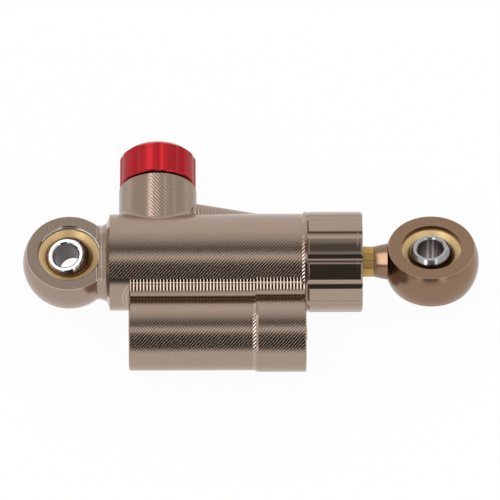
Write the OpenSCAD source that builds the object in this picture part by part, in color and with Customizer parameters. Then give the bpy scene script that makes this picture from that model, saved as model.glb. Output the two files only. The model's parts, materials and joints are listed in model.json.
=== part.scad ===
// Steering damper for a motorcycle: a rod damper with two spherical eyes, a
// compensating reservoir beside the cylinder and a needle valve under a knob.
// Millimetres. The origin is the centre of the body eye's ball. +X runs along
// the rod to the rod eye, +Y points to the adjuster knob and away from the
// reservoir, and +Z is the axis of the body eye's seat. The rod is drawn fully in.

/* [Spherical bearings] */
// Bore of both balls, for the mounting bolts
bolt_d = 8; // [6:0.5:9]
// Diameter of both balls
ball_d = 15.875; // [15:0.125:16.5]
// Width of both balls across their end faces
ball_w = 12; // [11:0.25:12.75]
// Wall of both races round the middle of the ball
race_wall = 1.5625; // [1.4:0.0125:2.1]
// Width of both races
race_w = 9; // [8:0.25:9.5]
// Tilt of the body eye's ball as drawn, in degrees
body_ball_tilt = 11.9; // [0:0.1:14]
// Direction that this tilt leans to, in degrees from +X
body_ball_lean = 213.5; // [0:0.5:360]
// Tilt of the rod eye's ball towards the body as drawn, in degrees
rod_ball_tilt = 3.5; // [0:0.1:14]

/* [Eyes] */
// Outer diameter of the body eye
body_eye_d = 28.4; // [27:0.1:31]
// Width of the body eye across its flats
body_eye_w = 11.4; // [11:0.1:12]
// Distance from the body ball to the wall behind the eye's flats
flat_end = 9.15; // [8:0.05:9.6]
// Diameter of the body eye's neck
neck_d = 22.6; // [20:0.1:24]
// Distance from the body ball to the cylinder's end face
seat_x = 11.4; // [10.8:0.1:13]
// Outer diameter of the rod eye
rod_eye_d = 29.2; // [28.4:0.1:31]
// Width of the rod eye across its flats
rod_eye_w = 12.3; // [11.4:0.1:12.8]
// Length of the rod eye's conical neck
rod_neck_len = 4.65; // [3:0.05:8]
// Turn of the rod eye about the rod as drawn, in degrees
rod_eye_roll = 13.2; // [-45:0.1:45]

/* [Cylinder] */
// Outer diameter of the cylinder
tube_d = 29.6; // [28.8:0.1:32]
// Bore of the cylinder
bore_d = 25; // [23:0.1:25.4]
// Length of the cylinder, end face to cap
tube_len = 61.65; // [61.1:0.05:75]
// Thickness of the cylinder's closed end
end_wall = 4.1; // [3.5:0.1:6]
// Diameter of the thread that joins the body eye to the cylinder
eye_stud_d = 16; // [12:0.5:17]

/* [Gland cap] */
// Outer diameter of the gland cap and of the cylinder's head
cap_d = 30.8; // [30.4:0.1:34]
// Length of the cap outside the cylinder
cap_len = 16.8; // [15.5:0.1:24]
// Length of the cap's thread inside the cylinder
spigot_len = 7; // [6:0.1:9]
// Number of grip flutes
flute_count = 12; // [8:1:14]
// Diameter of the cutter that mills the flutes
flute_d = 6.1; // [5:0.1:8]
// Depth of a flute at its middle
flute_depth = 0.52; // [0.3:0.02:0.8]

/* [Rod and piston] */
// Diameter of the rod
rod_d = 9.3; // [8:0.1:10]
// Travel of the rod
stroke = 33; // [20:0.5:33.5]
// Rod left in sight between the cap and the rod eye when fully in
rod_show = 3.4; // [1.5:0.1:12]
// Length of the piston
piston_len = 8; // [6.5:0.1:8.4]
// Diameter of the rod's thread in the piston
piston_stud_d = 6; // [5:0.5:7]
// Diameter of the rod's thread in the rod eye
rod_stud_d = 8; // [6:0.5:8.5]
// Thickness of the shims on each face of the piston
shim_t = 0.6; // [0.3:0.05:0.8]
// Thickness of the piston nut
nut_t = 3.5; // [2.5:0.1:3.8]
// Length of the rubber stop on the rod
bumper_len = 3; // [2:0.1:3.5]

/* [Reservoir] */
// Outer diameter of the reservoir
res_d = 22.6; // [22:0.1:24.5]
// Outer diameter of the reservoir's thicker end
res_end_d = 23.6; // [23.4:0.1:25]
// Bore of the reservoir
res_bore_d = 18.6; // [16:0.1:19]
// Distance between the cylinder's and the reservoir's axes
res_offset = 25.3; // [24.6:0.1:27.5]
// Distance from the body ball to the reservoir's closed end
res_x0 = 18.4; // [17.6:0.1:19.5]
// Length of the reservoir
res_len = 54.15; // [53:0.05:54.3]
// Length of the thicker end with its cone
res_end_len = 16.25; // [12:0.05:24]
// Radius of the valleys between cylinder and reservoir
valley_r = 5; // [4:0.1:6]
// Length of the floating piston
float_len = 9; // [7.5:0.1:11]
// Length of the end plug
plug_len = 7.9; // [6.5:0.1:9]
// Gap between the floating piston and the end plug with the rod fully in
float_gap = 13.5; // [11:0.1:15]
// Wire diameter of the reservoir spring
float_wire_d = 1.4; // [1:0.1:1.6]
// Turns of the reservoir spring
float_turns = 6; // [4:1:6]

/* [Adjuster] */
// Distance from the body ball to the adjuster's axis
boss_x = 27.1; // [26.4:0.1:27.5]
// Diameter of the adjuster's boss
boss_d = 23.9; // [23:0.1:25]
// Height of the boss above the cylinder's axis
boss_top = 25.3; // [25:0.1:29]
// Bore of the boss for the valve cartridge
valve_bore_d = 18.4; // [17.6:0.1:18.8]
// Diameter of the knob
knob_d = 23.4; // [22:0.1:25]
// Height of the knob
knob_h = 11.15; // [10:0.05:15]
// Gap between boss and knob
knob_gap = 0.75; // [0.6:0.05:1.5]
// Chamfer at the knob's outer end
knob_chamfer = 1.4; // [0.5:0.1:2]
// Number of grip scallops round the knob
knob_scallops = 10; // [8:1:14]
// Turn of the knob from closed to open, in degrees
knob_turn = 340; // [180:20:340]
// Angle between the knob's clicks, in degrees
click_step = 20; // [10:5:30]
// Lift of the needle in one full turn of the knob
needle_pitch = 1.5; // [0.8:0.1:1.6]
// Radius of the ridge over the bypass gallery
rib_r = 5; // [4:0.1:5.5]
// Radius of the bypass gallery
gallery_r = 1.2; // [0.8:0.1:1.3]

/* [Fits] */
// Radial clearance of threads and pressed seats
seat_gap = 0.03; // [0.02:0.01:0.05]
// Radial clearance of what slides or turns
run_gap = 0.04; // [0.03:0.01:0.08]
// Gap between a seal and its groove
seal_gap = 0.02; // [0.01:0.01:0.04]

/* [Hidden] */
$fn = 96;
eps = 0.01;

// Colours of the finishes
bronze_grey = [0.60, 0.54, 0.49];
bronze = [0.56, 0.44, 0.36];
gold = [0.72, 0.58, 0.34];
brass = [0.80, 0.67, 0.45];
steel = [0.72, 0.72, 0.72];
dark_steel = [0.38, 0.38, 0.40];
knob_red = [0.78, 0.10, 0.12];
rubber = [0.08, 0.08, 0.08];
ptfe = [0.30, 0.42, 0.36];

// Bearings
ball_r = ball_d / 2;
race_d = ball_d + 2 * race_wall;
race_r = race_d / 2;
bolt_r = bolt_d / 2;
ball_chamfer = 0.4;
race_cone_d = 1.1;
lip_step = 0.3;
mouth = 0.25;
wire_r = 0.4;
ring_centre_r = race_r + 0.05;
ring_z = race_w / 2 + wire_r + 0.03;
body_ring_mid = 172;
rod_ring_mid = 0;
ring_split = 40;

// Cylinder and gland cap, along X
tube_r = tube_d / 2;
bore_r = bore_d / 2;
eye_stud_r = eye_stud_d / 2;
bore_x0 = seat_x + end_wall;
cap_x0 = seat_x + tube_len;
cap_x1 = cap_x0 + cap_len;
gland_x0 = cap_x0 - spigot_len;
cap_r = cap_d / 2;
head_len = 0.95;
head_cone = 0.7;
head_x0 = cap_x0 - head_len - head_cone;
gland_r = bore_r + 0.8;
end_bevel_len = 1.1;
end_bevel_r = 2.85;
neck_r = neck_d / 2;
neck_flare = 0.63;
neck_flare_len = 1.6;
flat_fillet = 0.85;
corner = 0.3;
joint_bevel = 0.15;
eye_ring_r = 0.55;
eye_ring_x = seat_x + 1.8;
gland_ring_r = 0.6;

// Rod train, from the closed end
end_gap = 0.5;
nut_x0 = bore_x0 + end_gap;
nut_x1 = nut_x0 + nut_t;
piston_x0 = nut_x1 + shim_t;
piston_x1 = piston_x0 + piston_len;
shoulder_x = piston_x1 + shim_t;
stop_gap = 0.3;
bumper_x1 = gland_x0 - stop_gap - stroke;
bumper_x0 = bumper_x1 - bumper_len;
rod_r = rod_d / 2;
piston_stud_r = piston_stud_d / 2;
rod_stud_r = rod_stud_d / 2;
piston_r = bore_r - 0.1;
band_w = 3.2;
band_t = 1;
band_x0 = piston_x0 + 1.2;
piston_ring_r = 0.7;
ring_x0 = band_x0 + band_w + 0.8;
shim_r = 8.5;
spacer_r = 10.8;
nut_flats = 10;

// Rod eye
rod_face_x = cap_x1 + rod_show;
rod_neck_r0 = rod_r + 0.01;
rod_neck_r1 = 5.7;
rod_eye_r = rod_eye_d / 2;
rod_flat_r = sqrt(pow(rod_eye_r, 2) - pow(rod_eye_w / 2, 2));
rod_neck_x1 = rod_face_x + rod_neck_len;
rod_eye_x = rod_neck_x1 + rod_flat_r - 0.15;
rod_stud_x1 = rod_eye_x - race_r - 1;

// Gland pocket, from the inside out
pocket_r = 8;
gland_ring_t = 0.8;
gland_ring_w = 1.9;
gland_ring_x0 = gland_x0 + 0.3;
bushing_x0 = gland_ring_x0 + gland_ring_t + 0.05;
bushing_len = 8.2;
washer_x0 = bushing_x0 + bushing_len;
washer_t = 0.8;
seal_x0 = washer_x0 + washer_t;
seal_len = 4.1;
pocket_x1 = seal_x0 + seal_len + 0.05;
wiper_r = 7.2;
wiper_len = 3;
wiper_x1 = cap_x1 - 0.35;
wiper_x0 = wiper_x1 - wiper_len;
gland_groove_x = gland_x0 + 2;
rod_hole_r = rod_r + 0.35;

// Flutes of the gland cap
flute_r = flute_d / 2;
flute_axis_r = cap_r - flute_depth + flute_r;
flute_turn = 117.3;
rim_len = 0.55;
rim_drop = 0.4;

// Reservoir
res_r = res_d / 2;
res_end_r = res_end_d / 2;
res_bore_r = res_bore_d / 2;
res_x1 = res_x0 + res_len;
res_cone_len = 1.6;
res_cone_x1 = res_x1 - res_end_len + res_cone_len;
res_floor = 2.1;
plug_recess = 2.15;
plug_x1 = res_x1 - plug_recess;
plug_x0 = plug_x1 - plug_len;
float_x1 = plug_x0 - float_gap;
float_x0 = float_x1 - float_len;
circlip_t = 0.9;
circlip_x0 = plug_x1 + 0.05;
circlip_depth = 0.8;
float_wall = 0.85;
float_cup = 4;
float_spring_r = res_bore_r - float_wall - 0.2 - float_wire_d / 2;
float_ring_r = 0.9;
float_ring_x = float_x0 + 2.4;
bleed_r = 1.9;
bleed_head_r = 2.6;
bleed_washer_t = 0.5;
bleed_head_t = 1.55;
bleed_dome = 0.45;
bleed_depth = 6;

// Passages
valve_bore_r = valve_bore_d / 2;
boss_r = boss_d / 2;
port_r = 1;
port_x = boss_x - valve_bore_r + port_r + 0.1;
duct_r = 1.2;
duct_x0 = bore_x0 + 1.7;
duct_y0 = 1.2 - bore_r;
duct_x1 = res_x0 + 5.8;
duct_y1 = res_bore_r - 1.6 - res_offset;
duct_len = norm([duct_x1 - duct_x0, duct_y1 - duct_y0]);
duct_turn = atan2(duct_y1 - duct_y0, duct_x1 - duct_x0);

// Adjuster, heights above the cylinder's axis
valve_wall = 2.1;
valve_floor = bore_r + valve_wall;
plenum_h = 1.6;
cartridge_y0 = valve_floor + plenum_h;
seat_t = 1;
orifice_r = 1.1;
groove_rise = 0.9;
groove_y0 = cartridge_y0 + groove_rise;
groove_w = 2.3;
groove_y1 = groove_y0 + groove_w;
groove_depth = 1.6;
chamber_r = 2.6;
guide_rise = 3.2;
guide_y0 = cartridge_y0 + guide_rise;
guide_r = 2.05;
guide_len = 2.5;
spindle_y0 = guide_y0 + guide_len;
spindle_r = 4.5;
spindle_flange_h = 2.3;
spindle_y1 = spindle_y0 + spindle_flange_h;
spindle_ring_r = 0.5;
spindle_ring_y = spindle_y0 + 1.2;
valve_ring_r = 0.8;
valve_ring_y = boss_top - 1.35;
boss_foot = 5;
needle_lift = needle_pitch * knob_turn / 360;
shaft_r = 3;
clip_t = 0.75;
clip_y0 = spindle_y1 + 0.05;
clip_r = 5.1;
clip_split = 60;
hex_flats = 3;
hex_gap = 0.1;
socket_depth = 3;
knob_y0 = boss_top + knob_gap;
knob_y1 = knob_y0 + knob_h;
knob_r = knob_d / 2;
track_gap = 0.25;
track_y = knob_y0 + track_gap;
track_r0 = 7.4;
track_r1 = 9.4;
recess_r = 9.6;
notch_r = 0.62;
nose_r = 0.5;
click_t = 0.4;
pin_ring_r = 5.9;
pin_r = 0.6;
pin_gap = 0.1;
pin_top = 2.1;
pin_depth = 1.3;
stop_half = asin((pin_r + pin_gap) / pin_ring_r);
lug_angle = 360 - knob_turn - 2 * stop_half;
screw_head_r = 3.6;
screw_head_h = 2.6;
screw_r = 1.95;
screw_len = 6.5;
screw_sink = 0.1;
shaft_flat_y = knob_y0 + 3;
pin_angle = 100;
click_angle = 200;
knob_edge = 0.35;
knob_seal_sink = 0.8;
boss_rim_drop = 0.4;
screw_seat_y = knob_y1 - screw_sink - screw_head_h;
shaft_top = screw_seat_y - 1.5;
shaft_flat = 2.5;
scallop_cut_r = 5;
scallop_depth = 0.35;
knob_seal_r = 10.2;
knob_seal_w = 0.8;

// Bypass gallery and its ridge: both slope down from the boss to the cylinder's head
gallery_y = groove_y0 + 0.9;
gallery_x = boss_x + valve_bore_r;
rib_drop = 2.4;
gallery_x1 = gland_x0 - 2.4;
rib_x1 = gland_x0 + 1.6;
rib_slope = atan2(gallery_y - bore_r - 0.2, gallery_x1 - gallery_x);
gallery_plug_r = 1.6;
gallery_plug_len = 2;
gallery_z0 = (boss_x - boss_r - gallery_x) / cos(rib_slope);

// Body of revolution about X, from [x, radius] points
module about_x(points) {
    rotate([0, 90, 0])
        rotate_extrude()
            polygon([for (p = points) [p[1], p[0]]]);
}

// Cylinder along X
module bar_x(x0, x1, r) {
    translate([x0, 0, 0]) rotate([0, 90, 0]) cylinder(h = x1 - x0, r = r);
}

// Cone along X
module cone_x(x0, x1, r0, r1) {
    translate([x0, 0, 0]) rotate([0, 90, 0]) cylinder(h = x1 - x0, r1 = r0, r2 = r1);
}

// Ring along X
module ring_x(x0, x1, r_in, r_out) {
    about_x([[x0, r_in], [x1, r_in], [x1, r_out], [x0, r_out]]);
}

// O-ring about X, filling a groove between two radii
module oring_x(x, r_in, r_out) {
    rotate([0, 90, 0])
        rotate_extrude()
            translate([(r_in + r_out) / 2, x]) circle(r = (r_out - r_in) / 2, $fn = 32);
}

// Wedge about Z that opens a ring, centred on an angle
module split_wedge(mid, width, r, h) {
    reach = 2 * r;
    rotate([0, 0, mid])
        linear_extrude(height = h)
            polygon([[0, 0], [reach, -reach * tan(width / 2)], [reach, reach * tan(width / 2)]]);
}

// Flat internal circlip about Z with two eyes at its ends
module circlip(r_in, r_out, t, mid, width) {
    eye = (r_out - r_in) * 0.28;
    difference() {
        cylinder(h = t, r = r_out);
        translate([0, 0, -eps]) cylinder(h = t + 2 * eps, r = r_in);
        translate([0, 0, -eps]) split_wedge(mid, width, r_out, t + 2 * eps);
        for (side = [-1, 1])
            rotate([0, 0, mid + side * (width / 2 + 8)])
                translate([(r_in + r_out) / 2, 0, -eps]) cylinder(h = t + 2 * eps, r = eye, $fn = 24);
    }
}

// Places children in the reservoir's axis
module at_reservoir() {
    translate([0, -res_offset, 0]) children();
}

// Places children on the adjuster's axis, with local +Z along +Y
module at_adjuster() {
    translate([boss_x, 0, 0]) rotate([-90, 0, 0]) children();
}

// Places children at the rod eye, with its seat's axis as local +Z
module at_rod_eye() {
    translate([rod_eye_x, 0, 0]) rotate([-rod_eye_roll, 0, 0]) children();
}

// Places children on the line of the bypass gallery, with local +Z down its slope
module at_gallery() {
    translate([gallery_x, gallery_y, 0]) rotate([0, 0, -rib_slope]) rotate([0, 90, 0]) children();
}

// Race with a spherical seat and coned faces
module race() {
    half = race_w / 2;
    cone_r = race_r - 0.6;
    seat_r = sqrt(pow(ball_r + run_gap, 2) - pow(half - race_cone_d, 2));
    difference() {
        rotate_extrude()
            polygon([[0, -half], [race_r - seat_gap, -half], [race_r - seat_gap, half], [0, half]]);
        sphere(r = ball_r + run_gap);
        for (side = [0, 1])
            mirror([0, 0, side])
                translate([0, 0, half - race_cone_d])
                    cylinder(h = race_cone_d + eps, r1 = seat_r, r2 = cone_r);
    }
}

// Ball with end faces, a bore and its chamfers
module ball() {
    difference() {
        intersection() {
            sphere(r = ball_r);
            cube([ball_d, ball_d, ball_w], center = true);
        }
        cylinder(h = ball_w + 2 * eps, r = bolt_r, center = true);
        for (side = [0, 1])
            mirror([0, 0, side])
                translate([0, 0, ball_w / 2 - ball_chamfer])
                    cylinder(h = ball_chamfer + eps, r1 = bolt_r, r2 = bolt_r + ball_chamfer + eps);
    }
}

// Round-wire snap ring above a race
module wire_ring(mid) {
    difference() {
        translate([0, 0, ring_z])
            rotate_extrude()
                translate([ring_centre_r, 0]) circle(r = wire_r, $fn = 32);
        translate([0, 0, ring_z - 2 * wire_r]) split_wedge(mid, ring_split, race_r, 4 * wire_r);
    }
}

// Seat for a race in an eye, with a lip at +Z or at -Z and a ring groove opposite
module race_seat(lip_up) {
    reach = race_d;
    rotate([lip_up ? 0 : 180, 0, 0]) {
        translate([0, 0, -reach]) cylinder(h = reach + race_w / 2, r = race_r);
        cylinder(h = reach, r = race_r - lip_step);
        translate([0, 0, -ring_z])
            rotate_extrude()
                translate([ring_centre_r, 0]) circle(r = wire_r + seal_gap, $fn = 32);
    }
}

// Body eye, screwed into the cylinder's closed end
module body_eye() {
    half = body_eye_w / 2;
    reach = body_eye_d;
    floor_r = eye_stud_r - seat_gap - 2 * eye_ring_r - 2 * seal_gap;
    color(bronze_grey)
    difference() {
        union() {
            intersection() {
                sphere(r = body_eye_d / 2);
                translate([seat_x - reach, -reach, -reach]) cube([reach, 2 * reach, 2 * reach]);
            }
            bar_x(0, seat_x - neck_flare_len, neck_r);
            cone_x(seat_x - neck_flare_len, seat_x, neck_r, neck_r + neck_flare);
            bar_x(seat_x - 1, bore_x0, eye_stud_r - seat_gap);
        }
        for (turn = [0, 180]) {
            rotate([turn, 0, 0]) {
                translate([-reach, -reach, half])
                    cube([reach + flat_end - flat_fillet, 2 * reach, reach]);
                translate([-reach, -reach, half + flat_fillet])
                    cube([reach + flat_end, 2 * reach, reach]);
                translate([flat_end - flat_fillet, 0, half + flat_fillet])
                    rotate([90, 0, 0])
                        cylinder(h = 2 * reach, r = flat_fillet, center = true);
            }
        }
        ring_x(eye_ring_x - eye_ring_r - 0.1, eye_ring_x + eye_ring_r + 0.1, floor_r, eye_stud_r + 1);
        race_seat(false);
        translate([0, 0, half - mouth]) cylinder(h = 2 * mouth, r1 = race_r, r2 = race_r + 2 * mouth);
    }
}

// Race of the body eye
module body_race() {
    color(brass) race();
}

// Ball of the body eye, tilted as drawn
module body_ball() {
    color(steel)
        rotate([0, 0, body_ball_lean])
            rotate([0, body_ball_tilt, 0])
                rotate([0, 0, -body_ball_lean])
                    ball();
}

// Snap ring of the body eye
module body_snap_ring() {
    color(dark_steel) wire_ring(body_ring_mid);
}

// O-ring between body eye and cylinder
module eye_oring() {
    outer = eye_stud_r - seal_gap;
    color(rubber) oring_x(eye_ring_x, outer - 2 * eye_ring_r, outer);
}

// Web between cylinder and reservoir over one length, with a round valley on each side
module web(x0, x1, far_r) {
    reach = 0.995;
    y = (pow(res_offset, 2) + pow(tube_r + valley_r, 2) - pow(far_r + valley_r, 2)) / (2 * res_offset);
    z = sqrt(pow(tube_r + valley_r, 2) - pow(y, 2));
    near_k = tube_r * reach / (tube_r + valley_r);
    far_k = far_r * reach / (far_r + valley_r);
    difference() {
        translate([x0, 0, 0])
            rotate([90, 0, 90])
                linear_extrude(height = x1 - x0)
                    polygon([
                        [-y * near_k, -z * near_k],
                        [-y * near_k, z * near_k],
                        [(res_offset - y) * far_k - res_offset, z * far_k],
                        [(res_offset - y) * far_k - res_offset, -z * far_k]
                    ]);
        for (side = [-1, 1])
            translate([0, -y, side * z]) bar_x(x0 - 1, x1 + 1, valley_r - 0.03);
    }
}

// Cylinder, reservoir and adjuster boss, cut from one block
module cylinder_body() {
    color(bronze_grey)
    difference() {
        union() {
            about_x([
                [seat_x, 0],
                [seat_x, tube_r - end_bevel_r],
                [seat_x + end_bevel_len, tube_r],
                [head_x0, tube_r],
                [head_x0 + head_cone, cap_r],
                [cap_x0 - joint_bevel, cap_r],
                [cap_x0, cap_r - joint_bevel],
                [cap_x0, 0]
            ]);
            at_reservoir() about_x([
                [res_x0, 0],
                [res_x0, res_r - 0.4],
                [res_x0 + 0.4, res_r],
                [res_cone_x1 - res_cone_len, res_r],
                [res_cone_x1, res_end_r],
                [res_x1 - corner, res_end_r],
                [res_x1, res_end_r - corner],
                [res_x1, 0]
            ]);
            web(res_x0 + 0.4, res_cone_x1, res_r);
            web(res_cone_x1 - res_cone_len / 2, res_x1 - 0.4, res_end_r);
            at_adjuster() translate([0, 0, boss_foot]) cylinder(h = boss_top - boss_foot, r = boss_r);
            at_gallery()
                translate([0, -rib_drop, -2])
                    cylinder(h = (rib_x1 - gallery_x + 2) / cos(rib_slope), r = rib_r);
        }
        about_x([
            [seat_x - 1, 0],
            [seat_x - 1, eye_stud_r],
            [bore_x0, eye_stud_r],
            [bore_x0, bore_r],
            [gland_x0, bore_r],
            [gland_x0, gland_r],
            [cap_x0 + 1, gland_r],
            [cap_x0 + 1, 0]
        ]);
        at_reservoir() about_x([
            [res_x0 + res_floor, 0],
            [res_x0 + res_floor, res_bore_r],
            [circlip_x0 - 0.04, res_bore_r],
            [circlip_x0 - 0.04, res_bore_r + circlip_depth],
            [circlip_x0 + circlip_t + 0.04, res_bore_r + circlip_depth],
            [circlip_x0 + circlip_t + 0.04, res_bore_r],
            [res_x1 + 1, res_bore_r],
            [res_x1 + 1, 0]
        ]);
        at_adjuster() {
            translate([0, 0, valve_floor]) cylinder(h = boss_top, r = valve_bore_r);
            translate([0, 0, boss_top - knob_seal_sink])
                difference() {
                    cylinder(h = 1, r = knob_seal_r + knob_seal_w / 2 + seal_gap);
                    translate([0, 0, -1]) cylinder(h = 3, r = knob_seal_r - knob_seal_w / 2 - seal_gap);
                }
            translate([0, 0, boss_top - boss_rim_drop])
                difference() {
                    cylinder(h = 1, r = boss_r + 1);
                    translate([0, 0, -1]) cylinder(h = 3, r = knob_seal_r - knob_seal_w / 2 - seal_gap);
                }
        }
        translate([port_x, valve_floor + eps, 0])
            rotate([90, 0, 0])
                cylinder(h = valve_floor - bore_r + 2, r = port_r);
        translate([duct_x0, duct_y0, 0])
            rotate([0, 0, duct_turn])
                rotate([0, 90, 0])
                    cylinder(h = duct_len, r = duct_r);
        at_gallery() {
            translate([0, 0, gallery_z0 - 2])
                cylinder(h = (gallery_x1 - gallery_x) / cos(rib_slope) - gallery_z0 + 2, r = gallery_r);
            translate([0, 0, gallery_z0 - 2])
                cylinder(h = gallery_plug_len + 2, r = gallery_plug_r);
        }
    }
}

// Plug in the drilled end of the bypass gallery, flush with the boss
module gallery_plug() {
    color(bronze_grey)
    intersection() {
        at_gallery()
            translate([0, 0, gallery_z0 - 2])
                cylinder(h = gallery_plug_len + 2 - seat_gap, r = gallery_plug_r - seat_gap);
        at_adjuster() cylinder(h = boss_top, r = boss_r);
    }
}

// Gland cap, screwed into the cylinder's head
module gland_cap() {
    spigot_r = gland_r - seat_gap;
    floor_r = gland_r - 2 * gland_ring_r - 2 * seal_gap;
    color(bronze_grey)
    difference() {
        about_x([
            [gland_x0, 0],
            [gland_x0, spigot_r - corner],
            [gland_x0 + corner, spigot_r],
            [cap_x0, spigot_r],
            [cap_x0, cap_r - rim_drop],
            [cap_x0 + rim_len, cap_r],
            [cap_x1 - rim_len, cap_r],
            [cap_x1, cap_r - rim_drop],
            [cap_x1, 0]
        ]);
        about_x([
            [gland_x0 - 1, 0],
            [gland_x0 - 1, pocket_r],
            [gland_ring_x0 - seal_gap, pocket_r],
            [gland_ring_x0 - seal_gap, pocket_r + 0.6],
            [gland_ring_x0 + gland_ring_t + seal_gap, pocket_r + 0.6],
            [gland_ring_x0 + gland_ring_t + seal_gap, pocket_r],
            [pocket_x1, pocket_r],
            [pocket_x1, rod_hole_r],
            [wiper_x0, rod_hole_r],
            [wiper_x0, wiper_r],
            [cap_x1 + 1, wiper_r],
            [cap_x1 + 1, 0]
        ]);
        ring_x(gland_groove_x - gland_ring_r - 0.1, gland_groove_x + gland_ring_r + 0.1,
            floor_r, gland_r + 1);
        for (i = [0 : flute_count - 1])
            rotate([flute_turn + i * 360 / flute_count, 0, 0])
                translate([0, flute_axis_r, 0])
                    bar_x(cap_x0 - 1, cap_x1 + 1, flute_r);
    }
}

// O-ring between cap and cylinder
module gland_oring() {
    outer = gland_r - seal_gap;
    color(rubber) oring_x(gland_groove_x, outer - 2 * gland_ring_r, outer);
}

// Bushing that guides the rod
module rod_bushing() {
    color(brass) ring_x(bushing_x0, bushing_x0 + bushing_len, rod_r + run_gap, pocket_r - seat_gap);
}

// Back-up washer of the rod seal
module seal_washer() {
    color(ptfe) ring_x(washer_x0, washer_x0 + washer_t, rod_r + 0.09, pocket_r - seat_gap);
}

// Lip seal on the rod, open to the oil
module rod_seal() {
    inner = rod_r + seal_gap;
    outer = pocket_r - seal_gap;
    mid = (inner + outer) / 2;
    color(rubber)
        about_x([
            [seal_x0, inner],
            [seal_x0 + seal_len, inner],
            [seal_x0 + seal_len, outer],
            [seal_x0, outer],
            [seal_x0, outer - 0.6],
            [seal_x0 + 1.7, mid + 0.35],
            [seal_x0 + 1.7, mid - 0.35],
            [seal_x0, inner + 0.6]
        ]);
}

// Circlip that holds bushing and seal in the cap
module gland_circlip() {
    color(dark_steel)
        translate([gland_ring_x0, 0, 0])
            rotate([0, 90, 0])
                circlip(pocket_r - gland_ring_w, pocket_r + 0.55, gland_ring_t, 90, ring_split);
}

// Wiper at the cap's outer end
module rod_wiper() {
    outer = wiper_r - seal_gap;
    inner = rod_r + seal_gap;
    color(rubber)
        about_x([
            [wiper_x0, inner + 0.5],
            [wiper_x0, outer],
            [wiper_x1 - 0.5, outer],
            [wiper_x1 - 0.5, inner + 1],
            [wiper_x1, inner + 0.4],
            [wiper_x1, inner],
            [wiper_x1 - 1, inner],
            [wiper_x1 - 1.5, inner + 0.5]
        ]);
}

// Rod with its threaded ends
module rod() {
    in_r = piston_stud_r - seat_gap;
    out_r = rod_stud_r - seat_gap;
    color(gold)
        about_x([
            [nut_x0, 0],
            [nut_x0, in_r - 0.5],
            [nut_x0 + 0.5, in_r],
            [shoulder_x, in_r],
            [shoulder_x, rod_r],
            [rod_face_x, rod_r],
            [rod_face_x, out_r],
            [rod_stud_x1 - 0.5, out_r],
            [rod_stud_x1, out_r - 0.5],
            [rod_stud_x1, 0]
        ]);
}

// Piston with its bleed holes
module piston() {
    band_floor = bore_r - run_gap - band_t - run_gap;
    ring_floor = bore_r - 2 * piston_ring_r - 2 * seal_gap;
    color(steel)
    difference() {
        about_x([
            [piston_x0, piston_stud_r],
            [piston_x0, piston_r - corner],
            [piston_x0 + corner, piston_r],
            [band_x0 - run_gap, piston_r],
            [band_x0 - run_gap, band_floor],
            [band_x0 + band_w + run_gap, band_floor],
            [band_x0 + band_w + run_gap, piston_r],
            [ring_x0 - 0.1, piston_r],
            [ring_x0 - 0.1, ring_floor],
            [ring_x0 + 2 * piston_ring_r + 0.1, ring_floor],
            [ring_x0 + 2 * piston_ring_r + 0.1, piston_r],
            [piston_x1 - corner, piston_r],
            [piston_x1, piston_r - corner],
            [piston_x1, piston_stud_r]
        ]);
        for (i = [0 : 3])
            rotate([i * 90, 0, 0])
                translate([0, shim_r - 1.6, 0])
                    bar_x(piston_x0 - 1, piston_x1 + 1, 0.8, $fn = 24);
    }
}

// Split-free guide band of the piston
module piston_band() {
    outer = bore_r - run_gap;
    color(ptfe) ring_x(band_x0, band_x0 + band_w, outer - band_t, outer);
}

// O-ring of the piston
module piston_oring() {
    outer = bore_r - seal_gap;
    color(rubber) oring_x(ring_x0 + piston_ring_r, outer - 2 * piston_ring_r, outer);
}

// Shims on both faces of the piston
module piston_shims() {
    color(dark_steel) {
        ring_x(nut_x1, piston_x0, piston_stud_r, shim_r);
        ring_x(piston_x1, shoulder_x, piston_stud_r, shim_r);
    }
}

// Nut on the rod's inner end
module piston_nut() {
    flat_r = nut_flats / 2;
    color(dark_steel)
    difference() {
        translate([nut_x0, 0, 0])
            rotate([0, 90, 0])
                cylinder(h = nut_t, r = flat_r / cos(30), $fn = 6);
        bar_x(nut_x0 - 1, nut_x1 + 1, piston_stud_r);
    }
}

// Spacer that sets the stroke
module stroke_spacer() {
    color(steel) ring_x(shoulder_x, bumper_x0, rod_r + seat_gap, spacer_r);
}

// Rubber stop that meets the cap at full stroke
module stroke_bumper() {
    color(rubber)
        about_x([
            [bumper_x0, rod_r + seat_gap],
            [bumper_x0, spacer_r],
            [bumper_x1 - 0.8, spacer_r],
            [bumper_x1, spacer_r - 0.8],
            [bumper_x1, rod_r + seat_gap]
        ]);
}

// Rod eye with its conical neck
module rod_eye() {
    color(bronze)
    difference() {
        union() {
            at_rod_eye()
                intersection() {
                    sphere(r = rod_eye_r);
                    cube([2 * rod_eye_d, 2 * rod_eye_d, rod_eye_w], center = true);
                }
            about_x([
                [rod_face_x, 0],
                [rod_face_x, rod_neck_r0],
                [rod_neck_x1, rod_neck_r1],
                [rod_neck_x1 + 0.8, rod_neck_r1 - 0.8],
                [rod_neck_x1 + 0.8, 0]
            ]);
        }
        bar_x(rod_face_x - 1, rod_stud_x1 + 0.3, rod_stud_r);
        at_rod_eye() race_seat(true);
    }
}

// Race of the rod eye
module rod_race() {
    color(brass) at_rod_eye() race();
}

// Ball of the rod eye, tilted as drawn
module rod_ball() {
    color(steel) at_rod_eye() rotate([0, -rod_ball_tilt, 0]) ball();
}

// Snap ring of the rod eye, on its far face
module rod_snap_ring() {
    color(dark_steel) at_rod_eye() rotate([180, 0, 0]) wire_ring(rod_ring_mid);
}

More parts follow.
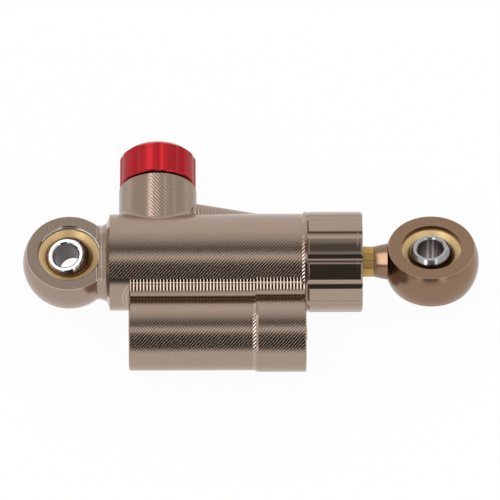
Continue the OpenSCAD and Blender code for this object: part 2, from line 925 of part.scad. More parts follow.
// Valve cartridge with the needle's seat, guide thread and passages
module valve_cartridge() {
    outer = valve_bore_r - seat_gap;
    ring_floor = valve_bore_r - 2 * valve_ring_r - 2 * seal_gap;
    color(brass)
    at_adjuster()
    difference() {
        rotate_extrude()
            polygon([
                [orifice_r, cartridge_y0],
                [outer - 0.4, cartridge_y0],
                [outer, cartridge_y0 + 0.4],
                [outer, groove_y0],
                [outer - groove_depth, groove_y0],
                [outer - groove_depth, groove_y1],
                [outer, groove_y1],
                [outer, valve_ring_y - valve_ring_r - 0.1],
                [ring_floor, valve_ring_y - valve_ring_r - 0.1],
                [ring_floor, valve_ring_y + valve_ring_r + 0.1],
                [outer, valve_ring_y + valve_ring_r + 0.1],
                [outer, boss_top],
                [spindle_r + 0.1, boss_top],
                [spindle_r + 0.1, clip_y0 + clip_t + seal_gap],
                [clip_r, clip_y0 + clip_t + seal_gap],
                [clip_r, clip_y0 - seal_gap],
                [spindle_r + 0.1, clip_y0 - seal_gap],
                [spindle_r + 0.1, spindle_y0],
                [guide_r, spindle_y0],
                [guide_r, guide_y0],
                [chamber_r, guide_y0],
                [chamber_r, cartridge_y0 + seat_t],
                [orifice_r, cartridge_y0 + seat_t]
            ]);
        translate([0, 0, cartridge_y0 + seat_t + 1.1])
            rotate([0, 90, 0])
                cylinder(h = 2 * valve_bore_r, r = 0.9, center = true);
        rotate([0, 0, pin_angle])
            translate([pin_ring_r, 0, boss_top - pin_depth])
                cylinder(h = pin_depth + 1, r = pin_r);
    }
}

// O-ring of the valve cartridge
module cartridge_oring() {
    outer = valve_bore_r - seal_gap;
    color(rubber)
        at_adjuster()
            rotate_extrude()
                translate([outer - valve_ring_r, valve_ring_y]) circle(r = valve_ring_r, $fn = 32);
}

// Needle, screwed into the cartridge and turned through its hexagon
module needle() {
    hex_r = hex_flats / 2 / cos(30);
    color(brass)
    at_adjuster() {
        rotate_extrude()
            polygon([
                [0, cartridge_y0 + 0.2],
                [0.6, cartridge_y0 + 0.2],
                [orifice_r - 0.05, cartridge_y0 + seat_t],
                [1.6, cartridge_y0 + seat_t + 0.04],
                [1.6, cartridge_y0 + seat_t + 1.4],
                [guide_r - seat_gap, cartridge_y0 + seat_t + 1.6],
                [guide_r - seat_gap, spindle_y0 - needle_lift - 0.1],
                [hex_flats / 2 - 0.1, spindle_y0 - needle_lift],
                [hex_flats / 2 - 0.1, spindle_y0],
                [0, spindle_y0]
            ]);
        translate([0, 0, spindle_y0 - 0.2])
            cylinder(h = socket_depth - needle_lift - 0.1, r = hex_r, $fn = 6);
    }
}

// Spindle that carries the knob and turns the needle
module spindle() {
    ring_floor = spindle_r + 0.1 - 2 * spindle_ring_r - 2 * seal_gap;
    socket_r = (hex_flats / 2 + hex_gap) / cos(30);
    color(steel)
    at_adjuster()
    difference() {
        rotate_extrude()
            polygon([
                [0, spindle_y0 + 0.05],
                [spindle_r + 0.1 - run_gap, spindle_y0 + 0.05],
                [spindle_r + 0.1 - run_gap, spindle_ring_y - spindle_ring_r - 0.1],
                [ring_floor, spindle_ring_y - spindle_ring_r - 0.1],
                [ring_floor, spindle_ring_y + spindle_ring_r + 0.1],
                [spindle_r + 0.1 - run_gap, spindle_ring_y + spindle_ring_r + 0.1],
                [spindle_r + 0.1 - run_gap, spindle_y1],
                [shaft_r, spindle_y1],
                [shaft_r, shaft_top - 0.3],
                [shaft_r - 0.3, shaft_top],
                [0, shaft_top]
            ]);
        translate([0, 0, spindle_y0 - 1]) cylinder(h = socket_depth + 1, r = socket_r, $fn = 6);
        translate([0, 0, screw_seat_y - screw_len - 0.4]) cylinder(h = screw_len, r = screw_r);
        translate([shaft_flat, -knob_r, shaft_flat_y]) cube([knob_r, knob_d, knob_h]);
    }
}

// O-ring of the spindle
module spindle_oring() {
    outer = spindle_r + 0.1 - seal_gap;
    color(rubber)
        at_adjuster()
            rotate_extrude()
                translate([outer - spindle_ring_r, spindle_ring_y])
                    circle(r = spindle_ring_r, $fn = 32);
}

// Circlip that keeps the spindle in the cartridge
module spindle_circlip() {
    color(dark_steel)
        at_adjuster()
            translate([0, 0, clip_y0])
                circlip(shaft_r + 0.3, clip_r - seal_gap, clip_t, pin_angle + 150, clip_split);
}

// Spring plate with the nose that clicks into the knob's notches
module click_spring() {
    color(steel)
    at_adjuster() {
        translate([0, 0, boss_top])
            difference() {
                cylinder(h = click_t, r = track_r1 - 0.35);
                translate([0, 0, -1]) cylinder(h = 3, r = track_r0 - 0.5);
            }
        rotate([0, 0, click_angle])
            translate([track_r0 - 0.2, 0, boss_top + click_t - eps])
                rotate([90, 0, 90])
                    linear_extrude(height = track_r1 - track_r0 - 0.3) {
                        translate([-nose_r, 0]) square([2 * nose_r, 0.5 + eps]);
                        translate([0, 0.5 + eps]) circle(r = nose_r, $fn = 32);
                    }
    }
}

// Pin that stops the knob at both ends of its turn
module stop_pin() {
    color(dark_steel)
        at_adjuster()
            rotate([0, 0, pin_angle])
                translate([pin_ring_r, 0, boss_top - pin_depth])
                    cylinder(h = pin_depth + pin_top, r = pin_r - 0.02);
}

// Dust ring between boss and knob
module knob_seal() {
    half = knob_seal_w / 2;
    color(rubber)
        at_adjuster()
            rotate_extrude()
                polygon([
                    [knob_seal_r - half, boss_top - knob_seal_sink],
                    [knob_seal_r + half, boss_top - knob_seal_sink],
                    [knob_seal_r + half, knob_y0 - 0.35],
                    [knob_seal_r + half - 0.2, knob_y0 - 0.15],
                    [knob_seal_r - half + 0.2, knob_y0 - 0.15],
                    [knob_seal_r - half, knob_y0 - 0.35]
                ]);
}

// Adjuster knob
module knob() {
    lug_mid = pin_angle + stop_half + lug_angle / 2;
    slot_r0 = pin_ring_r - pin_r - 0.2;
    slot_r1 = pin_ring_r + pin_r + 0.2;
    hub_r = shaft_r + seat_gap;
    color(knob_red)
    at_adjuster()
    difference() {
        rotate_extrude()
            polygon([
                [0, track_y],
                [recess_r, track_y],
                [recess_r, knob_y0],
                [knob_r - knob_edge, knob_y0],
                [knob_r, knob_y0 + knob_edge],
                [knob_r, knob_y1 - knob_chamfer],
                [knob_r - knob_chamfer, knob_y1],
                [0, knob_y1]
            ]);
        for (i = [0 : knob_scallops - 1])
            rotate([0, 0, i * 360 / knob_scallops - 89])
                translate([knob_r - scallop_depth + scallop_cut_r, 0, knob_y0 - 1])
                    cylinder(h = knob_h + 2, r = scallop_cut_r);
        for (i = [0 : ceil(360 / click_step) - 1])
            rotate([0, 0, click_angle + i * click_step])
                translate([track_r0 - 0.4, 0, track_y])
                    rotate([0, 90, 0])
                        cylinder(h = track_r1 - track_r0 + 0.4, r = notch_r, $fn = 32);
        rotate([0, 0, lug_mid + lug_angle / 2])
            translate([0, 0, track_y - 1])
                rotate_extrude(angle = 360 - lug_angle)
                    translate([slot_r0, 0]) square([slot_r1 - slot_r0, pin_top - track_gap - knob_gap + 1.5]);
        difference() {
            translate([0, 0, track_y - 1]) cylinder(h = shaft_top + 0.1 - track_y + 1, r = hub_r);
            translate([shaft_flat + seat_gap, -knob_r, shaft_flat_y + 0.3])
                cube([knob_r, knob_d, knob_h]);
        }
        translate([0, 0, track_y]) cylinder(h = knob_h, r = screw_r + 0.1);
        translate([0, 0, screw_seat_y]) cylinder(h = knob_h, r = screw_head_r + 0.4);
    }
}

// Screw that holds the knob on its spindle
module knob_screw() {
    color(dark_steel)
    at_adjuster()
    difference() {
        rotate_extrude()
            polygon([
                [0, screw_seat_y - screw_len],
                [screw_r - seat_gap, screw_seat_y - screw_len],
                [screw_r - seat_gap, screw_seat_y],
                [screw_head_r, screw_seat_y],
                [screw_head_r, screw_seat_y + screw_head_h - 0.3],
                [screw_head_r - 0.3, screw_seat_y + screw_head_h],
                [0, screw_seat_y + screw_head_h]
            ]);
        translate([0, 0, screw_seat_y + screw_head_h - 1.7]) cylinder(h = 3, r = 1.5 / cos(30), $fn = 6);
    }
}

// Floating piston between oil and spring
module floating_piston() {
    outer = res_bore_r - run_gap;
    cup_r = float_spring_r + float_wire_d / 2 + 0.2;
    floor_r = res_bore_r - 2 * float_ring_r - 2 * seal_gap;
    color(steel)
    at_reservoir()
        about_x([
            [float_x0, 0],
            [float_x0, outer - corner],
            [float_x0 + corner, outer],
            [float_ring_x - float_ring_r - 0.1, outer],
            [float_ring_x - float_ring_r - 0.1, floor_r],
            [float_ring_x + float_ring_r + 0.1, floor_r],
            [float_ring_x + float_ring_r + 0.1, outer],
            [float_x1, outer],
            [float_x1, cup_r],
            [float_x1 - float_cup, cup_r],
            [float_x1 - float_cup, 0]
        ]);
}

// O-ring of the floating piston
module float_oring() {
    outer = res_bore_r - seal_gap;
    color(rubber) at_reservoir() oring_x(float_ring_x, outer - 2 * float_ring_r, outer);
}

// Spring behind the floating piston, as a plain six-sided wire
module float_spring() {
    wire = float_wire_d / 2;
    x0 = float_x1 - float_cup + wire + 0.05;
    x1 = plug_x0 - wire - 0.05;
    steps = 8 * float_turns;
    rings = [for (i = [0 : steps]) [360 * i / 8, x0 + (x1 - x0) * i / steps]];
    points = [for (q = rings) for (k = [0 : 5])
        let (r = float_spring_r + wire * cos(60 * k))
        [q[1] + wire * sin(60 * k), r * cos(q[0]), r * sin(q[0])]];
    sides = [for (i = [0 : steps - 1]) for (k = [0 : 5])
        [6 * i + k, 6 * i + 6 + k, 6 * i + 6 + (k + 1) % 6, 6 * i + (k + 1) % 6]];
    caps = [[0, 1, 2, 3, 4, 5], [for (k = [5 : -1 : 0]) 6 * steps + k]];
    color(steel) at_reservoir() polyhedron(points = points, faces = concat(sides, caps), convexity = 8);
}

// Plug in the reservoir's open end
module end_plug() {
    outer = res_bore_r - seat_gap;
    floor_r = res_bore_r - 2 * float_ring_r - 2 * seal_gap;
    mid = plug_x0 + plug_len / 2;
    color(bronze_grey)
    at_reservoir()
        about_x([
            [plug_x0, bleed_r],
            [plug_x0, outer - corner],
            [plug_x0 + corner, outer],
            [mid - float_ring_r - 0.1, outer],
            [mid - float_ring_r - 0.1, floor_r],
            [mid + float_ring_r + 0.1, floor_r],
            [mid + float_ring_r + 0.1, outer],
            [plug_x1, outer],
            [plug_x1, bleed_r]
        ]);
}

// O-ring of the end plug
module plug_oring() {
    outer = res_bore_r - seal_gap;
    color(rubber)
        at_reservoir() oring_x(plug_x0 + plug_len / 2, outer - 2 * float_ring_r, outer);
}

// Circlip that holds the end plug
module reservoir_circlip() {
    color(dark_steel)
        at_reservoir()
            translate([circlip_x0, 0, 0])
                rotate([0, 90, 0])
                    circlip(res_bore_r - 1.6, res_bore_r + circlip_depth - 0.05, circlip_t, 90, 50);
}

// Bleed screw in the end plug
module bleed_screw() {
    head_x = plug_x1 + bleed_washer_t;
    color(brass)
    at_reservoir()
    difference() {
        about_x([
            [plug_x1 - bleed_depth, 0],
            [plug_x1 - bleed_depth, bleed_r - seat_gap],
            [head_x, bleed_r - seat_gap],
            [head_x, bleed_head_r],
            [head_x + bleed_head_t, bleed_head_r],
            [head_x + bleed_head_t + bleed_dome * 0.6, bleed_head_r - 0.5],
            [head_x + bleed_head_t + bleed_dome, bleed_head_r - 1.3],
            [head_x + bleed_head_t + bleed_dome, 0]
        ]);
        translate([head_x + bleed_head_t + bleed_dome - 0.9, -bleed_head_r - 1, -0.35])
            cube([2, 2 * bleed_head_r + 2, 0.7]);
    }
}

// Sealing washer under the bleed screw
module bleed_washer() {
    color(rubber)
        at_reservoir()
            ring_x(plug_x1, plug_x1 + bleed_washer_t, bleed_r, bleed_head_r + 0.3);
}

body_eye();
body_race();
body_ball();
body_snap_ring();
eye_oring();
cylinder_body();
gallery_plug();
gland_cap();
gland_oring();
rod_bushing();
seal_washer();
rod_seal();
gland_circlip();
rod_wiper();
rod();
piston();
piston_band();
piston_oring();
piston_shims();
piston_nut();
stroke_spacer();
stroke_bumper();
rod_eye();
rod_race();
rod_ball();
rod_snap_ring();
valve_cartridge();
cartridge_oring();
needle();
spindle();
spindle_oring();
spindle_circlip();
click_spring();
stop_pin();
knob_seal();
knob();
knob_screw();
floating_piston();
float_oring();
float_spring();
end_plug();
plug_oring();
reservoir_circlip();
bleed_screw();
bleed_washer();
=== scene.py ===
"""Steering damper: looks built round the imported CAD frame. Metres, in the frame of the part."""
import json
import math
from types import SimpleNamespace

import bmesh
import bpy
from mathutils import Matrix, Vector


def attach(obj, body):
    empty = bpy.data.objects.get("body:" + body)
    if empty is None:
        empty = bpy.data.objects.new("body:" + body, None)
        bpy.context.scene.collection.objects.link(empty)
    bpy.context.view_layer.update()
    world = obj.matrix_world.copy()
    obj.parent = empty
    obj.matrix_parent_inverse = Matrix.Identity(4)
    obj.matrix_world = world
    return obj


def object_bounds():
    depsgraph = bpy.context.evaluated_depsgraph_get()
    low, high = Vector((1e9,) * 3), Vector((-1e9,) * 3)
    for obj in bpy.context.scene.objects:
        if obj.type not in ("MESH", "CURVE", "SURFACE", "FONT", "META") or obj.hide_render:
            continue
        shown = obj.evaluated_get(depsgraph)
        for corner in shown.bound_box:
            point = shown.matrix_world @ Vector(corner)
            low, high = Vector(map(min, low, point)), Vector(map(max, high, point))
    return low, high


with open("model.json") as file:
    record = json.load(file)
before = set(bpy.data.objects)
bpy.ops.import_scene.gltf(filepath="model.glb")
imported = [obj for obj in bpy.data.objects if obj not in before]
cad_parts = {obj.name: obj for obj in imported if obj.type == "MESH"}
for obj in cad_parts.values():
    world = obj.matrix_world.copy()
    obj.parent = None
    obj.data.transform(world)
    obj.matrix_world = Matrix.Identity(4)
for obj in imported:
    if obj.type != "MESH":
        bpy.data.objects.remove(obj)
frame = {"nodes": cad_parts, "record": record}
CAD_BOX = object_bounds()
NODES = frame["nodes"]
MM = 0.001
X_AXIS, Y_AXIS, Z_AXIS = (1, 0, 0), (0, 1, 0), (0, 0, 1)

# Sizes and places in millimetres, as the solids have them. FAR ends a range that is open on that side
FAR = 200.0
TUBE_R, RES_R, RES_Y = 14.8, 11.3, -25.3
# Fillet between tube and reservoir: radius, X of its step, and centre (y, z) before and after the step
VALLEY_R, VALLEY_STEP = 5.0, 57.1
VALLEY_CENTRES = ((-15.147, 12.752), (-14.820, 13.130))
# Adjuster boss, and the fillet that the cutter left round its foot
BOSS_X, BOSS_R, FILLET = 27.1, 11.95, 1.5
# Cones at the cylinder's head and before the reservoir's thicker end: ranges of X and of radius
COLLAR_X, COLLAR_R = (71.3, 72.2), (14.7, 15.5)
CONE_X, CONE_R = (56.2, 57.2), (11.2, 11.9)
# Edge round each eye's flats (radius, half height), and the rod eye's roll
ROD_FLAT_R, ROD_FLAT_H, ROLL = 13.242, 6.15, math.radians(13.2)
BODY_FLAT_R, BODY_FLAT_H = 13.007, 5.7
# Rod eye's neck, the body eye's shoulder, and the two rims beside that, which get painted highlight lines
NECK_X, SHOULDER_X, SHOULDER_R, RIMS_X = (85.0, 98.5), (9.1, 9.8), (10.5, 12.0), (9.16, 10.05)
# Gland cap's fine line, the edge of a ball's bore off its axis, and a ball's skin off its centre
CAP_LINE_X, BORE_R, BALL_SKIN = 88.35, 4.06, (7.7, 9.0)

# Cutter marks: pitch and climb on tube and reservoir, then on the boss, and its fillet's pitch
PITCH, CLIMB = 1.02, 0.91
BOSS_PITCH, BOSS_CLIMB, BEAD_PITCH = 1.27, 1.27, 1.05
# Slope in the grooves, slope at their cusps, and the cusps' share of the pitch
HATCH, BOSS_HATCH = (0.11, -0.16, 0.18), (0.1, 0.22, 0.26)
# Ranges of Y: hatch on tube, reservoir and boss, ridge, valley's ticks with their seam, painted shade below
# the valley
TUBE_Y, RES_HATCH_Y, BOSS_Y, RIB_Y = (-11.4, FAR), (-FAR, -18.4), (9.0, 25.25), (8.0, FAR)
TICKS_Y, SEAM_Y, VALLEY_SHADE_Y = (-14.75, -11.0), (-12.45, -12.2), (-18.9, -16.9)
# Arcs beside the reservoir's closed end, painted lighter as highlight: centre (x, z), pitch, reach, outer
# lip, and where they show
ARC_CENTRE, ARC_PITCH, ARC_REACH, ARC_LIP = (23.5, 3.0), 1.7, 6.6, (6.8, 7.3)
ARC_X, ARC_Y = (12.0, 20.7), (-FAR, -10.9)


def lin(r, g, b):
    """sRGB 0-255 to linear."""
    def f(c):
        c /= 255
        return c / 12.92 if c <= 0.04045 else ((c + 0.055) / 1.055) ** 2.4
    return (f(r), f(g), f(b), 1.0)


def grey(v):
    return (v, v, v, 1)


def toned(color, k):
    """Colour times k, with no channel above 1."""
    return tuple(min(1, c * k) for c in color[:3]) + (1,)


BODY = lin(164, 144, 129)
BODY_EYE = lin(162, 143, 129)
BRONZE = lin(141, 113, 92)
GOLD = lin(204, 168, 102)
BRASS = lin(226, 190, 140)
RACE_BRASS = lin(224, 192, 138)
CHROME = lin(205, 203, 200)
STEEL = lin(190, 190, 190)
DARK = lin(70, 70, 72)
RED = lin(190, 44, 50)
RUBBER = lin(22, 22, 23)
PLASTIC = lin(96, 110, 100)
# Painted reflection of the race on each ball's skin, darker at the rod with painted shade
RACE_REFLECTION_AT_BODY, RACE_REFLECTION_AT_ROD = lin(104, 84, 66), lin(62, 46, 32)
# Balls: the bore's painted shade and painted glint, and, still in sRGB because tone scales them, the bore's
# lit tone of painted reflection and the ball's two greys
BORE_SHADE, GLINT = lin(40, 35, 34), lin(235, 230, 228)
BORE_LIT, BALL_GREYS = (112, 102, 100), (190, 212)
# Block: two tones of its mottle, then the colour laid on each kind of mark: painted highlight on ticks, arcs
# and cusps, painted shade between the ticks, below the valley and on the boss's sides, and the rib's marks
BODY_LOW, BODY_HIGH = lin(161, 141, 126), lin(168, 148, 133)
TICK_HIGHLIGHT, TICK_GAP_SHADE, VALLEY_SHADE = lin(166, 150, 137), lin(98, 78, 68), lin(140, 104, 84)
ARC_HIGHLIGHT, CUSP_HIGHLIGHT = lin(214, 198, 186), lin(196, 183, 173)
RIB_MARK, BOSS_SIDE_SHADE = lin(151, 132, 118), lin(146, 127, 115)


class Net:
    """Short way to write node maths: every call adds nodes and returns their output."""

    def __init__(self, tree):
        self.tree = tree
        tree.nodes.clear()

    def node(self, kind, **props):
        """New node with its properties set."""
        n = self.tree.nodes.new(kind)
        for k, v in props.items():
            setattr(n, k, v)
        return n

    def put(self, socket, value):
        """Links an output to a socket, or sets a constant on it."""
        if isinstance(value, bpy.types.NodeSocket):
            self.tree.links.new(value, socket)
        else:
            socket.default_value = value

    def m(self, op, *args, clamp=False):
        """Maths node."""
        n = self.node("ShaderNodeMath", operation=op, use_clamp=clamp)
        for i, a in enumerate(args):
            self.put(n.inputs[i], a)
        return n.outputs[0]

    def fold(self, op, first, *others):
        """One operation over all values, from the left."""
        for other in others:
            first = self.m(op, first, other)
        return first

    def add(self, *values):
        return self.fold("ADD", *values)

    def mul(self, *values):
        return self.fold("MULTIPLY", *values)

    def most(self, *values):
        return self.fold("MAXIMUM", *values)

    def sub(self, a, b):
        return self.m("SUBTRACT", a, b)

    def div(self, a, b):
        return self.m("DIVIDE", a, b)

    def size(self, a):
        """Value without its sign."""
        return self.m("ABSOLUTE", a)

    def line(self, value, slope, start):
        """Slope times value, plus start."""
        return self.m("MULTIPLY_ADD", value, slope, start)

    def v(self, op, *args):
        """Vector maths node."""
        n = self.node("ShaderNodeVectorMath", operation=op)
        for i, a in enumerate(args):
            if op == "SCALE" and i == 1:
                self.put(n.inputs["Scale"], a)
            else:
                self.put(n.inputs[i], a)
        return n.outputs["Value" if op in ("DOT_PRODUCT", "LENGTH") else "Vector"]

    def xyz(self, vec):
        n = self.node("ShaderNodeSeparateXYZ")
        self.put(n.inputs[0], vec)
        return n.outputs[0], n.outputs[1], n.outputs[2]

    def vec(self, x, y, z):
        n = self.node("ShaderNodeCombineXYZ")
        for i, a in enumerate((x, y, z)):
            self.put(n.inputs[i], a)
        return n.outputs[0]

    def ease(self, value, low, high, start=0, end=1):
        """Smooth step from start to end while value goes from low to high."""
        n = self.node("ShaderNodeMapRange", interpolation_type="SMOOTHSTEP")
        for i, a in enumerate((value, low, high, start, end)):
            self.put(n.inputs[i], a)
        return n.outputs[0]

    def band(self, value, low, high, soft=0.02):
        """1 where low < value < high."""
        rise = self.ease(value, low - soft, low + soft)
        return self.mul(rise, self.ease(value, high - soft, high + soft, 1, 0))

    def noise(self, vec, scale, detail=2.0, rough=0.5):
        n = self.node("ShaderNodeTexNoise")
        self.put(n.inputs["Vector"], vec)
        n.inputs["Scale"].default_value = scale
        n.inputs["Detail"].default_value = detail
        n.inputs["Roughness"].default_value = rough
        return n.outputs["Fac"]

    def mix(self, fac, a, b):
        n = self.node("ShaderNodeMix", data_type="RGBA")
        self.put(n.inputs[0], fac)
        self.put(n.inputs[6], a)
        self.put(n.inputs[7], b)
        return n.outputs[2]

    def ramp(self, fac, stops):
        n = self.node("ShaderNodeValToRGB")
        self.put(n.inputs[0], fac)
        els = n.color_ramp.elements
        while len(els) < len(stops):
            els.new(0.5)
        for e, (pos, col) in zip(els, stops):
            e.position = pos
            e.color = col
        return n.outputs[0]

    def place(self):
        """Object position in millimetres, and its coordinates."""
        p = self.v("SCALE", self.node("ShaderNodeTexCoord").outputs["Object"], 1000.0)
        return p, *self.xyz(p)

    def normal(self):
        return self.node("ShaderNodeNewGeometry").outputs["Normal"]


def material(name, color, metallic, roughness):
    mat = bpy.data.materials.new(name)
    mat.use_nodes = True
    net = Net(mat.node_tree)
    bsdf = net.node("ShaderNodeBsdfPrincipled")
    net.put(net.node("ShaderNodeOutputMaterial").inputs[0], bsdf.outputs[0])
    bsdf.inputs["Base Color"].default_value = color
    bsdf.inputs["Metallic"].default_value = metallic
    bsdf.inputs["Roughness"].default_value = roughness
    mat.diffuse_color = color
    return mat, net, bsdf


def mottle(net, bsdf, p, color, rough, spread):
    """Fine variation of colour and gloss that no real surface lacks."""
    base = net.mix(net.noise(p, 0.11, 3), toned(color, 1 - spread), toned(color, 1 + spread))
    gloss = net.line(net.noise(p, 3.0, 2), rough * 0.5, rough * 0.75)
    net.put(bsdf.inputs["Base Color"], base)
    net.put(bsdf.inputs["Roughness"], gloss)
    return base, gloss


def scallops(net, t, amount):
    """Slope across ball-cutter grooves: rises evenly from one cusp to the next."""
    return net.mul(net.sub(net.m("FRACT", t), 0.5), 2.0 * amount)


def pulse(net, t, share, soft=0.1):
    """1 over a share of each pitch."""
    return net.band(net.m("FRACT", t), 0.5 - share / 2, 0.5 + share / 2, soft)


def marks(net, t, hollow, cusp, share):
    """Hollow grooves with a steep rounded cusp between them."""
    return net.add(scallops(net, net.add(t, 0.5), hollow), net.mul(pulse(net, t, share, 0.07), cusp))


def fine_rings(net, along):
    """Uneven fine rings along an axis, about zero."""
    return net.sub(net.noise(net.vec(along, 0, 0), 7.0, 3), 0.5)


def from_axis(net, a, b, a0, b0):
    """Distance from an axis through (a0, b0)."""
    u, w = net.sub(a, a0), net.sub(b, b0)
    return net.m("SQRT", net.add(net.mul(u, u), net.mul(w, w)))


def across(net, a, b):
    """Direction square to two others."""
    return net.v("NORMALIZE", net.v("CROSS_PRODUCT", a, b))


def climbing(net, along, side, climb):
    """Direction along an axis that climbs to one side."""
    return net.v("NORMALIZE", net.v("ADD", along, net.v("SCALE", side, climb)))


def tilt(net, normal, parts):
    """Normal leaned against each (direction, slope) pair."""
    n = normal
    for direction, slope in parts:
        n = net.v("SUBTRACT", n, net.v("SCALE", direction, slope))
    return net.v("NORMALIZE", n)


def block_areas(net, x, y, z, nx, ny):
    """Where each kind of mark lies on the block: 1 inside, 0 outside."""
    off_tube = from_axis(net, y, z, 0.0, 0.0)
    off_res = from_axis(net, y, z, RES_Y, 0.0)
    off_boss = from_axis(net, x, z, BOSS_X, 0.0)
    side_on = net.band(nx, -0.25, 0.25, 0.05)
    skin = net.mul(net.band(off_tube, TUBE_R - 0.2, TUBE_R + 0.15, 0.04), side_on)
    late = net.band(x, VALLEY_STEP, FAR, 0.01)
    fillets = []
    for centre, part in zip(VALLEY_CENTRES, (net.sub(1.0, late), late)):
        r = from_axis(net, y, net.size(z), *centre)
        fillets.append(net.mul(net.band(r, VALLEY_R - 0.2, VALLEY_R + 0.1, 0.05), part))
    valley = net.mul(net.most(*fillets), net.band(off_tube, TUBE_R + 0.03, FAR, 0.02), side_on)
    boss = net.mul(net.band(off_boss, BOSS_R - 0.25, BOSS_R + 0.15, 0.04), net.band(y, *BOSS_Y, 0.02),
                   net.band(ny, -0.3, 0.3, 0.05))
    return SimpleNamespace(
        tube=net.mul(skin, net.band(y, *TUBE_Y, 0.1)),
        reservoir=net.mul(net.band(off_res, RES_R - 0.35, RES_R + 0.65, 0.05), side_on,
                          net.band(y, *RES_HATCH_Y, 0.1)),
        ticks=net.mul(valley, net.band(y, *TICKS_Y, 0.12)),
        collar=net.mul(net.band(x, *COLLAR_X, 0.05), net.band(off_tube, *COLLAR_R, 0.02)),
        cone=net.mul(net.band(x, *CONE_X, 0.05), net.band(off_res, *CONE_R, 0.02)),
        rib=net.mul(net.band(off_tube, 15.0, FAR, 0.05), net.band(off_boss, 12.4, FAR, 0.1),
                    net.band(y, *RIB_Y, 0.5)),
        arcs=net.mul(skin, net.band(y, *ARC_Y, 0.1), net.band(x, *ARC_X, 0.1)),
        # Painted shade on the reservoir's side, just below the valley
        tint=net.mul(net.band(y, *VALLEY_SHADE_Y, 0.25), net.band(off_tube, 15.2, FAR, 0.1), side_on),
        boss=boss,
        # Painted shade on the boss's sides, where its normal points along X
        boss_side_shade=net.mul(boss, net.band(net.size(nx), 0.8, 2.0, 0.12)))


def groove_counts(net, p, x, y, z):
    """Place counted in grooves, which climb to the right on tube and reservoir and fall on the boss."""
    wander = net.line(net.noise(p, 0.25, 2), 0.16, -0.08)

    def round_axis(a, radius):
        return net.mul(net.m("ARCTAN2", a, z), radius)

    def climb(a, radius):
        return net.add(net.div(net.sub(x, net.mul(round_axis(a, radius), CLIMB)), PITCH), wander)

    fall = net.add(y, net.mul(round_axis(net.sub(x, BOSS_X), BOSS_R), BOSS_CLIMB))
    return SimpleNamespace(
        tube=climb(y, TUBE_R), reservoir=climb(net.sub(y, RES_Y), RES_R), straight=net.div(x, PITCH),
        boss=net.add(net.div(fall, BOSS_PITCH), wander))


def valley_ticks(net, y, t):
    """Bright cusps in the valley, each narrower upwards, and the light seam across them."""
    half = net.line(y, -0.036, -0.235)
    off_cusp = net.size(net.sub(net.m("FRACT", t), 0.5))
    tick = net.m("DIVIDE", net.sub(half, off_cusp), 0.08, clamp=True)
    return net.most(tick, net.mul(net.band(y, *SEAM_Y, 0.06), 0.9))


def cutter_arcs(net, x, z):
    """Rings and an outer lip round the place where the cutter turned."""
    r = from_axis(net, x, z, *ARC_CENTRE)
    rings = net.mul(pulse(net, net.div(r, ARC_PITCH), 0.3), net.band(r, 0.0, ARC_REACH, 0.1))
    return net.most(rings, net.band(r, *ARC_LIP, 0.15))


def milled():
    """Block: tool marks of the milling cutter on each face."""
    mat, net, bsdf = material("body_anodised", BODY, 1.0, 0.17)
    p, x, y, z = net.place()
    nrm = net.normal()
    nx, ny, _ = net.xyz(nrm)
    on = block_areas(net, x, y, z, nx, ny)
    count = groove_counts(net, p, x, y, z)
    tick = valley_ticks(net, y, count.straight)
    collar_cusps, cone_cusps = pulse(net, count.tube, 0.5), pulse(net, count.reservoir, 0.5)

    # Slopes: hatch on tube and reservoir, steps along X where the grooves break through, hatch on the boss
    hatched = net.add(net.mul(marks(net, count.tube, *HATCH), on.tube),
                      net.mul(marks(net, count.reservoir, *HATCH), on.reservoir))
    stepped = net.add(net.mul(tick, -0.19, on.ticks),
                      net.mul(scallops(net, count.straight, 0.22), on.rib),
                      net.mul(net.line(collar_cusps, -0.16, -0.64), on.collar),
                      net.mul(net.line(cone_cusps, -0.18, -0.30), on.cone))
    net.put(bsdf.inputs["Normal"], tilt(net, nrm, [
        (climbing(net, X_AXIS, across(net, nrm, X_AXIS), CLIMB), hatched),
        (X_AXIS, stepped),
        (climbing(net, Y_AXIS, across(net, Y_AXIS, nrm), BOSS_CLIMB),
         net.mul(marks(net, count.boss, *BOSS_HATCH), on.boss))]))

    # Colours laid over the block, each over those before it: painted highlights, painted shades and the
    # rib's marks
    # Painted highlight on the cusps of collar and cone
    cusps = net.mul(net.add(net.mul(on.collar, collar_cusps), net.mul(on.cone, cone_cusps)),
                    net.band(net.size(z), 0.0, 14.0, 0.5))
    col = net.mix(net.noise(p, 0.11, 3), BODY_LOW, BODY_HIGH)
    for where, tint in (
            # painted highlight over the valley's ticks
            (on.ticks, TICK_HIGHLIGHT),
            # painted highlight on the cutter's arcs
            (net.mul(cutter_arcs(net, x, z), on.arcs, 0.35), ARC_HIGHLIGHT),
            # painted highlight on the collar's and cone's cusps
            (net.mul(cusps, 0.7), CUSP_HIGHLIGHT),
            # painted shade between the ticks
            (net.mul(on.ticks, net.sub(1.0, tick)), TICK_GAP_SHADE),
            # painted shade below the valley
            (on.tint, VALLEY_SHADE),
            (net.mul(on.rib, pulse(net, count.straight, 0.4)), RIB_MARK),
            # painted shade on the boss's sides
            (on.boss_side_shade, BOSS_SIDE_SHADE)):
        col = net.mix(where, col, tint)
    net.put(bsdf.inputs["Base Color"], col)
    rough = net.line(net.noise(p, 3.0, 2), 0.08, 0.11)
    sharp = net.most(on.ticks, on.collar, on.cone)
    net.put(bsdf.inputs["Roughness"], net.sub(rough, net.mul(sharp, 0.1)))
    return mat


